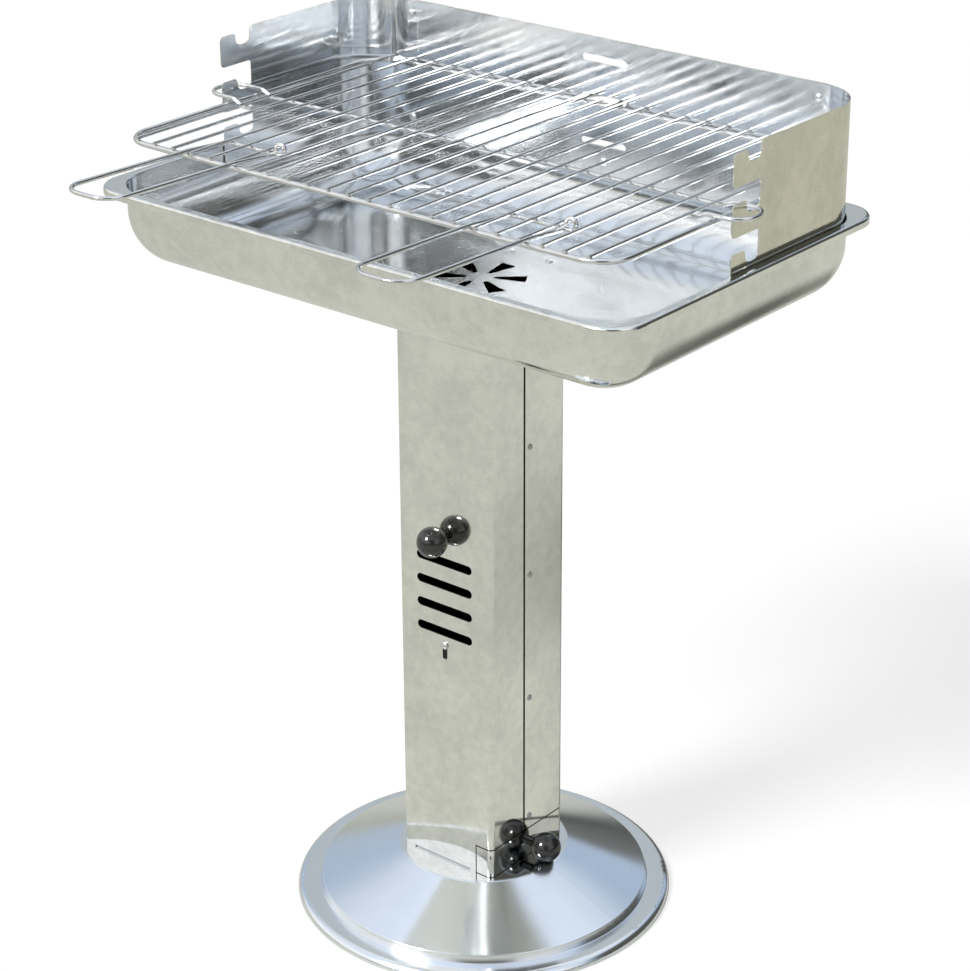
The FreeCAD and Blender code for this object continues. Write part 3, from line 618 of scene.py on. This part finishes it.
def nut_shape(flats, height, bore, turns=48):
    """A hexagon nut about Z from z = 0 up.

    The radius is that of a hexagon, cut to a circle at both chamfered ends, and the bore's rim is broken.
    """
    angles = full_turn(turns)
    hexagon = flats / 2 / np.cos(angles % (np.pi / 3) - np.pi / 6)
    chamfered = np.minimum(hexagon, flats / 2 * CHAMFER_RADIUS)
    rise = (hexagon - chamfered) * CHAMFER_SLOPE
    hole = np.full(turns, bore)
    lip = bore * BORE_LIP
    level = np.ones(turns)
    radii = np.array([hole, hole + lip, chamfered, hexagon, hexagon, chamfered, hole + lip, hole])
    heights = np.array([(height - lip) * level, height * level, height * level, height - rise, rise,
                        0 * level, 0 * level, lip * level])
    return looped(np.stack([radii * np.cos(angles), radii * np.sin(angles), heights], axis=-1))


def bead_shape(half_x, half_y, half_z, turns=12, rows=6):
    """A weld bead: an ellipsoid, whose rings shrink with the sine of the angle from its top."""
    fall = np.linspace(BEAD_POLE_GAP, np.pi - BEAD_POLE_GAP, rows)[:, None]
    angles = full_turn(turns)[None, :]
    x = half_x * np.sin(fall) * np.cos(angles)
    y = half_y * np.sin(fall) * np.sin(angles)
    z = half_z * np.cos(fall) * np.ones_like(angles)
    return closed(np.stack([x, y, z], axis=-1))


def ring_shape(radius, section, turns=96, sides=8):
    """A thin ring about Z: a small circle carried round a large one. It starts outermost and runs down."""
    around = full_turn(turns)[None, :]
    about = -full_turn(sides)[:, None]
    r = radius + section * np.cos(about)
    z = section * np.sin(about) * np.ones_like(around)
    return looped(np.stack([r * np.cos(around), r * np.sin(around), z], axis=-1))


# Places worked out from the frame. A place is a point, the way that it points and, for a screw, its length.

def corners(node, inset_x, inset_y):
    """The four upright edges of a node's box, drawn in."""
    low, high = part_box(node)
    return [(x, y) for x in (low.x + inset_x, high.x - inset_x) for y in (low.y + inset_y, high.y - inset_y)]


def bowl_screw_places():
    """Screws in the bowl's floor, with their heads up."""
    low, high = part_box("bowl_screws")
    seat = high.z - HEAD_HEIGHT
    places = corners("bowl_screws", HEAD_RADIUS, HEAD_RADIUS)
    return [((x, y, seat), (0, 0, 1), seat - low.z) for x, y in places]


def seam_screw_places():
    """Rows of screws on both sides of the column, seated under their heads."""
    low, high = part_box("column_seam_screws")
    y = (low.y + high.y) / 2
    heights = np.linspace(low.z + SEAM_HEAD_RADIUS, high.z - SEAM_HEAD_RADIUS, SEAM_SCREWS_A_SIDE)
    wall = high.x - SEAM_HEAD_HEIGHT
    return [((side * wall, y, z), (side, 0, 0), SEAM_SCREW_LENGTH) for side in (-1, 1) for z in heights]


def screen_screw_places(node, count):
    """The outer screws seat on the wings' flanges, a middle one on the back panel."""
    low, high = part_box(node)
    seats = [low.y + HEAD_HEIGHT] * count
    if count % 2:
        seats[count // 2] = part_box("windscreen_back")[0].y
    z = (low.z + high.z) / 2
    xs = np.linspace(low.x + HEAD_RADIUS, high.x - HEAD_RADIUS, count)
    return [((x, seat, z), (0, -1, 0), high.y - seat) for x, seat in zip(xs, seats)]


def guide_screw_place():
    """The one screw of the damper's guide, with its head in front."""
    low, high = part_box("damper_guide_screw")
    seat = low.y + HEAD_HEIGHT
    return [(((low.x + high.x) / 2, seat, (low.z + high.z) / 2), (0, -1, 0), high.y - seat)]


def screen_nut_places(node, count):
    """All nuts of a row seat at the front of their box, against the wall."""
    low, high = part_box(node)
    z = (low.z + high.z) / 2
    xs = np.linspace(low.x + NUT_CORNER_RADIUS, high.x - NUT_CORNER_RADIUS, count)
    return [((x, low.y, z), (0, 1, 0)) for x in xs]


def hanging_nut_places(node):
    """Nuts under a sheet, at the top of their box."""
    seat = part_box(node)[1].z
    return [((x, y, seat), (0, 0, -1)) for x, y in corners(node, NUT_CORNER_RADIUS, NUT_FLATS / 2)]


def bar_radius():
    """Radius of the grid's straight wires."""
    low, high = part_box("grid_bars")
    return (high.z - low.z) / 2


def crossing_places():
    """Where the grid's bars lie on the frame and on the cross wire.

    Within a rounded corner the frame draws back by the corner's radius less the circle's height there.
    """
    bars_low, bars_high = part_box("grid_bars")
    frame_low, frame_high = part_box("grid_frame")
    cross_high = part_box("grid_cross_wire")[1]
    bar = bar_radius()
    wire = (frame_high.z - frame_low.z) / 2
    contact = bars_low.z
    places = []
    for x in np.linspace(bars_low.x + bar, bars_high.x - bar, BAR_COUNT):
        into = max(abs(x) - (frame_high.x - wire - FRAME_CORNER_RADIUS), 0)
        back = FRAME_CORNER_RADIUS - math.sqrt(FRAME_CORNER_RADIUS ** 2 - into ** 2)
        places.append((x, frame_low.y + wire + back, contact))
        places.append((x, frame_high.y - wire - back, contact))
        places.append((x, cross_high.y - CROSS_WIRE_RADIUS, contact))
    return places


# Stage

def make_floor(lights):
    """A disc: rings of points whose radius grows with the square of the row, joined round.

    The camera sees a white glow with a share of the lit floor, so the shadow stays and the edge doesn't show.
    """
    rows, turns, first_row = 12, 96, 0.2
    radii = lights.floor_radius * ((np.arange(rows) + first_row)[:, None] / (rows - 1 + first_row)) ** 2
    angles = full_turn(turns)[None, :]
    level = np.zeros((rows, turns))
    points = np.stack([radii * np.cos(angles), AXIS_Y + radii * np.sin(angles), level], axis=-1)
    flat = np.concatenate([points.reshape(-1, 3), [[0.0, AXIS_Y, 0.0]]])
    ring = np.arange(turns)
    fan = np.stack([np.full(turns, rows * turns), ring, (ring + 1) % turns], axis=-1)
    mesh = bpy.data.meshes.new("floor")
    mesh.from_pydata(flat.tolist(), [], ring_faces(rows, turns).tolist() + fan.tolist())
    material, tree, output = new_material("pale_floor")
    paint = add_node(tree, "ShaderNodeBsdfDiffuse", Color=(*lights.floor_colour, 1.0))
    shadow = add_node(tree, "ShaderNodeBsdfDiffuse", Color=(lights.shade, lights.shade, lights.shade, 1.0))
    glow = add_node(tree, "ShaderNodeEmission", Strength=FLOOR_WHITE - lights.shade * LIT_WHITE)
    seen = add_node(tree, "ShaderNodeAddShader")
    tree.links.new(shadow.outputs["BSDF"], seen.inputs[0])
    tree.links.new(glow.outputs["Emission"], seen.inputs[1])
    path = add_node(tree, "ShaderNodeLightPath")
    both = mix_shader(tree, path.outputs["Is Camera Ray"], paint.outputs["BSDF"], seen.outputs["Shader"])
    tree.links.new(both, output.inputs["Surface"])
    mesh.materials.append(material)
    floor = bpy.data.objects.new("floor", mesh)
    bpy.context.scene.collection.objects.link(floor)


def make_room(scene, lights):
    """White for the camera, a toned room with horizon and patches for gloss, an even fill for matt faces."""
    world = bpy.data.worlds.new("room")
    scene.world = world
    world.use_nodes = True
    tree = world.node_tree
    tree.nodes.clear()
    output = tree.nodes.new("ShaderNodeOutputWorld")
    way = add_node(tree, "ShaderNodeTexCoord").outputs["Generated"]
    parts = add_node(tree, "ShaderNodeSeparateXYZ")
    tree.links.new(way, parts.inputs["Vector"])
    height = parts.outputs["Z"]
    room = mix_colour(tree, ramp(tree, parts.outputs["Y"], BEHIND), WHITE, BACK_SKY)
    room = mix_colour(tree, ramp(tree, height, ZENITH), room, ZENITH_SKY)
    for middle, spread, tone in PATCHES:
        room = mix_colour(tree, ramp(tree, dot_product(tree, way, middle), spread), room, tone)
    horizon = mix_colour(tree, ramp(tree, parts.outputs["X"], RIGHTWARD), LEFT_HORIZON, RIGHT_HORIZON)
    room = mix_colour(tree, ramp(tree, height, HORIZON_TOP), horizon, room)
    room = mix_colour(tree, ramp(tree, height, GROUND_TOP), GROUND, room)
    fill = add_node(tree, "ShaderNodeBackground", Color=(*WHITE, 1.0), Strength=lights.fill)
    gloss = add_node(tree, "ShaderNodeBackground", Strength=1.0)
    tree.links.new(room, gloss.inputs["Color"])
    white = add_node(tree, "ShaderNodeBackground", Color=(*WHITE, 1.0), Strength=1.0)
    path = add_node(tree, "ShaderNodeLightPath")
    shiny = math_node(tree, "MAXIMUM", path.outputs["Is Glossy Ray"], path.outputs["Is Transmission Ray"])
    unseen = mix_shader(tree, shiny, fill.outputs["Background"], gloss.outputs["Background"])
    seen = mix_shader(tree, path.outputs["Is Camera Ray"], unseen, white.outputs["Background"])
    tree.links.new(seen, output.inputs["Surface"])


def make_lamps(lights):
    """One hazy sun. Its direction makes its light, and its distance only makes it easy to find."""
    lamp = bpy.data.lights.new("hazy_sun", "SUN")
    lamp.energy = lights.key_strength
    lamp.angle = lights.key_angle
    key = bpy.data.objects.new("hazy_sun", lamp)
    bpy.context.scene.collection.objects.link(key)
    way = Vector(KEY_WAY).normalized()
    key.location = Vector((0.0, AXIS_Y, BOWL_LOW.z)) + way * KEY_DISTANCE
    key.rotation_euler = way.to_track_quat("Z", "Y").to_euler()


def make_camera(scene, view):
    """The camera looks at a point near the column's axis, and rolls about its line of view.

    Azimuth turns it from the front to the right, and elevation lifts it.
    """
    a = view.azimuth
    e = view.elevation
    back = Vector((math.sin(a) * math.cos(e), -math.cos(a) * math.cos(e), math.sin(e)))
    right = Vector((math.cos(a), math.sin(a), 0.0))
    up = back.cross(right)
    rolled_right = right * math.cos(view.roll) + up * math.sin(view.roll)
    rolled_up = up * math.cos(view.roll) - right * math.sin(view.roll)
    camera = bpy.data.cameras.new("camera")
    camera.lens = view.lens
    camera.sensor_width = FILM_WIDTH
    camera.sensor_fit = "HORIZONTAL"
    camera.clip_end = FAR_CLIP
    holder = bpy.data.objects.new("camera", camera)
    scene.collection.objects.link(holder)
    place = Vector((0.0, AXIS_Y, view.aim_height)) + right * view.aim_right + back * view.distance
    turn = Matrix((rolled_right, rolled_up, back)).transposed().to_4x4()
    holder.matrix_world = Matrix.Translation(place) @ turn
    scene.camera = holder


# Operators

class GRILL_OT_finishes(bpy.types.Operator):
    """Make the finishes and give them to the CAD pieces"""
    bl_idname = "grill.finishes"
    bl_label = "Finishes"

    def execute(self, context):
        settings = context.scene.grill_steel
        fasteners = [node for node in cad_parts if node.endswith(FASTENER_ENDINGS)]
        # The inner steel is painted near black as the shade inside the column
        inner_steel_in_painted_shade = plain_steel("inner_steel_painted_shade", settings.inner_shade_colour, roughness=0.35, depth=0.12)
        tray_steel = plain_steel("tray_steel", settings.tray_colour, roughness=0.30, depth=0.12)
        # This one is called fastener_steel.001: the frame brings a plain fastener_steel, which
        # the detailed screws and nuts find by that name and wear.
        fastener_steel = plain_steel("fastener_steel", settings.fastener_colour, roughness=0.12, depth=0.10)
        paint_nodes(COLUMN_STEEL_NODES, column_steel(settings, "column_polished_steel", seam_shade_tone=0.0))
        # The rear shell's cut edge at the seam gets painted shade
        paint_nodes(("column_rear_shell",), column_steel(settings, "column_rear_steel", seam_shade_tone=1.0))
        paint_nodes(("fire_bowl",), tub_steel(settings, "bowl_steel", settings.outside_colour))
        paint_nodes(SCREEN_NODES, tub_steel(settings, "windscreen_steel", settings.screen_colour))
        paint_nodes(("base_plate",), base_steel(settings))
        paint_nodes(WIRE_NODES, wire_steel(settings))
        paint_nodes(KNOB_NODES, knob_plastic(settings))
        paint_nodes(INNER_STEEL_NODES, inner_steel_in_painted_shade)
        paint_nodes(("ash_drawer_tray",), tray_steel)
        paint_nodes(fasteners, fastener_steel)
        return {"FINISHED"}


class GRILL_OT_screws(bpy.types.Operator):
    """Make the screws with cross recesses and threads, in place of the plain ones"""
    bl_idname = "grill.screws"
    bl_label = "Screws"

    def execute(self, context):
        settings = context.scene.grill_fittings
        frame_steel = bpy.data.materials["fastener_steel"]
        joining = screen_screw_places("windscreen_joining_screws", JOINING_SCREWS)
        fixing = screen_screw_places("windscreen_fixing_screws", FIXING_SCREWS)
        large = (HEAD_RADIUS, HEAD_HEIGHT, SHANK_RADIUS)
        small = (SEAM_HEAD_RADIUS, SEAM_HEAD_HEIGHT, SEAM_SHANK_RADIUS)
        groups = (("bowl_screws", bowl_screw_places(), "stand", large),
                  ("windscreen_joining_screws", joining, "stand", large),
                  ("windscreen_fixing_screws", fixing, "stand", large),
                  ("damper_guide_screw", guide_screw_place(), "damper", large),
                  ("column_seam_screws", seam_screw_places(), "stand", small))
        for node, places, body, sizes in groups:
            shapes = [placed(screw_shape(settings, *sizes, length), place, direction)
                      for place, direction, length in places]
            piece = make_piece("detailed_" + node, shapes, frame_steel, body)
            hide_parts(node)
        return {"FINISHED"}


class GRILL_OT_nuts(bpy.types.Operator):
    """Make the chamfered nuts in place of the plain ones"""
    bl_idname = "grill.nuts"
    bl_label = "Nuts"

    def execute(self, context):
        frame_steel = bpy.data.materials["fastener_steel"]
        nut = nut_shape(NUT_FLATS, NUT_HEIGHT, SHANK_RADIUS + THREAD_PLAY)
        groups = (("bowl_nuts", hanging_nut_places("bowl_nuts")),
                  ("base_nuts", hanging_nut_places("base_nuts")),
                  ("windscreen_joining_nuts", screen_nut_places("windscreen_joining_nuts", JOINING_SCREWS)),
                  ("windscreen_fixing_nuts", screen_nut_places("windscreen_fixing_nuts", FIXING_SCREWS)))
        for node, places in groups:
            shapes = [placed(nut, place, direction) for place, direction in places]
            piece = make_piece("detailed_" + node, shapes, frame_steel, "stand")
            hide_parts(node)
        return {"FINISHED"}


class GRILL_OT_welds(bpy.types.Operator):
    """Make the weld beads where the grid's wires cross"""
    bl_idname = "grill.welds"
    bl_label = "Grid welds"

    def execute(self, context):
        steel = bpy.data.materials["bright_wire_steel"]
        bar = bar_radius()
        bead = bead_shape(bar * BEAD_WIDTH, context.scene.grill_fittings.weld_length, bar * BEAD_HEIGHT)
        shapes = [placed(bead, place, (0, 0, 1)) for place in crossing_places()]
        make_piece("grid_weld_beads", shapes, steel, "grid", ALL_SMOOTH)
        return {"FINISHED"}


class GRILL_OT_mould_lines(bpy.types.Operator):
    """Make the fine parting line round each moulded knob"""
    bl_idname = "grill.mould_lines"
    bl_label = "Knob mould lines"

    def execute(self, context):
        black = bpy.data.materials["black_moulded_knob"]
        for node, body, axis in (("damper_knob", "damper", 1), ("ash_drawer_knob", "ash_drawer", 0)):
            low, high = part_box(node)
            radius = (high.z - low.z) / 2
            centre = [(a + b) / 2 for a, b in zip(low, high)]
            centre[axis] = low[axis] + radius if axis == 1 else high[axis] - radius
            ring = ring_shape(radius - MOULD_LINE_SINK, MOULD_LINE_RADIUS)
            line = placed(ring, centre, (1, 0, 0) if axis == 1 else (0, 1, 0))
            make_piece(node + "_mould_line", [line], black, body, ALL_SMOOTH)
        return {"FINISHED"}


class GRILL_OT_stage(bpy.types.Operator):
    """Make the floor, the room's light, the lamp and the camera"""
    bl_idname = "grill.stage"
    bl_label = "Stage"

    def execute(self, context):
        scene = context.scene
        make_floor(scene.grill_lights)
        make_room(scene, scene.grill_lights)
        make_lamps(scene.grill_lights)
        make_camera(scene, scene.grill_camera)
        scene.view_settings.view_transform = "Standard"
        return {"FINISHED"}


class GRILL_PT_panel(bpy.types.Panel):
    """Settings and steps of the grill"""
    bl_idname = "GRILL_PT_panel"
    bl_label = "Pedestal grill"
    bl_space_type = "VIEW_3D"
    bl_region_type = "UI"
    bl_category = "Grill"

    def draw(self, context):
        for group_name in GROUPS:
            group = getattr(context.scene, group_name)
            box = self.layout.box()
            for key in group.__annotations__:
                box.prop(group, key)
        for step in STEPS:
            self.layout.operator(step.bl_idname)


GROUPS = {"grill_camera": CameraSettings, "grill_lights": LightSettings, "grill_steel": SteelSettings,
          "grill_fittings": FittingSettings}
STEPS = (GRILL_OT_finishes, GRILL_OT_screws, GRILL_OT_nuts, GRILL_OT_welds, GRILL_OT_mould_lines,
         GRILL_OT_stage)


def register():
    for kind in (*GROUPS.values(), *STEPS, GRILL_PT_panel):
        bpy.utils.register_class(kind)
    for name, kind in GROUPS.items():
        setattr(bpy.types.Scene, name, bpy.props.PointerProperty(type=kind))


def unregister():
    for name in GROUPS:
        delattr(bpy.types.Scene, name)
    for kind in reversed((*GROUPS.values(), *STEPS, GRILL_PT_panel)):
        bpy.utils.unregister_class(kind)


def main():
    register()
    bpy.ops.grill.finishes()
    bpy.ops.grill.screws()
    bpy.ops.grill.nuts()
    bpy.ops.grill.welds()
    bpy.ops.grill.mould_lines()
    bpy.ops.grill.stage()


if __name__ == "__main__":
    main()
